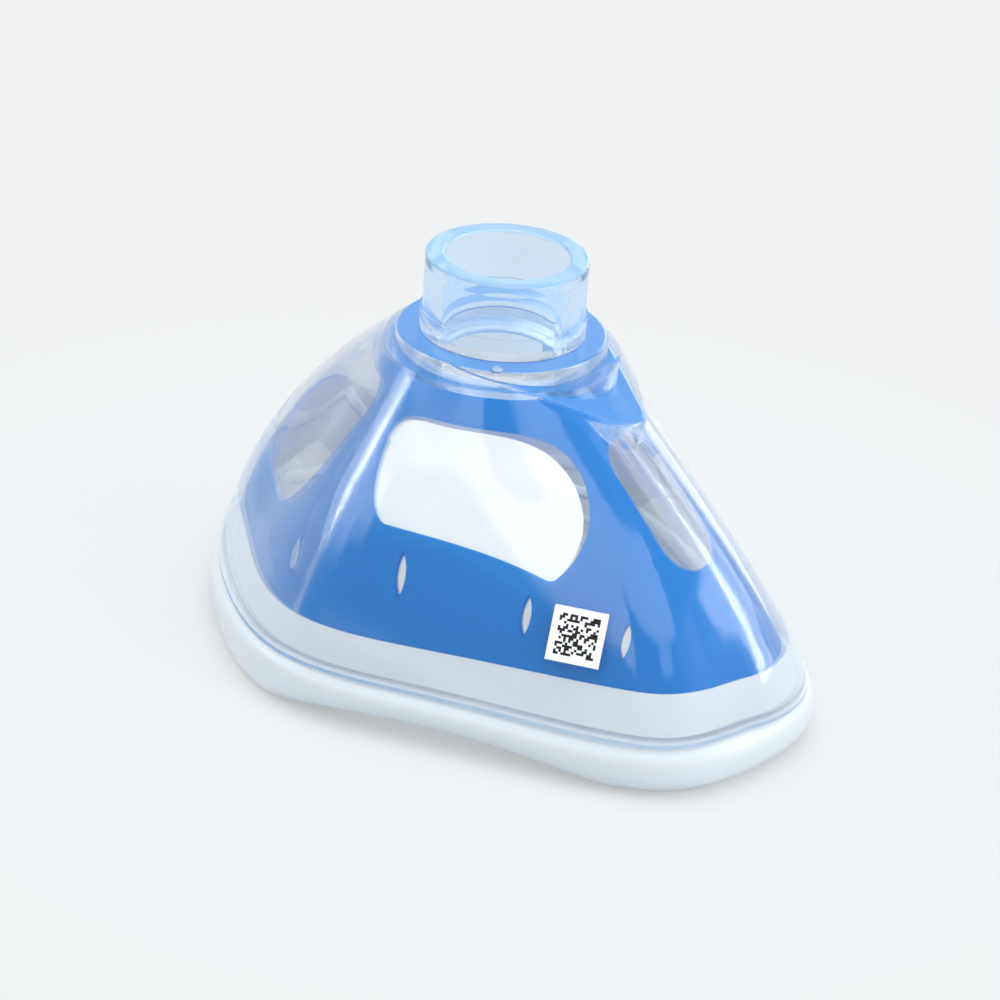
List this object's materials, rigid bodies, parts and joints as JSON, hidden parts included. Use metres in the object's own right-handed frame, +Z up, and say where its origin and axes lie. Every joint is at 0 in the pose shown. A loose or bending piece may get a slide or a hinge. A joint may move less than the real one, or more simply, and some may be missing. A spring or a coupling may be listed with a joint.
{
  "type": "anesthesia face mask",
  "caption": "Clear hollow face mask with a 22 mm port on top, a blue windowed layer inside its dome and a soft milky cushion round its open edge.",
  "frame": {"origin": "middle of the whole mask, on the surface that its cushion stands on", "axes": "+X towards the nose end, +Z up out of the port and away from the face, +Y towards the wearer's right cheek; the label is on the -Y side"},
  "size_m": [0.1292, 0.0986, 0.0765],
  "materials": {
    "clear_plastic": "clear, glossy",
    "blue_plastic": "smooth, tinted, glossy",
    "milky_cushion": "soft, milky clear",
    "white_label": "matte print"
  },
  "bodies": {
    "root": {"clear_shell": "clear_plastic", "blue_liner": "blue_plastic", "face_cushion": "milky_cushion", "data_label": "white_label"}
  },
  "joints": []
}
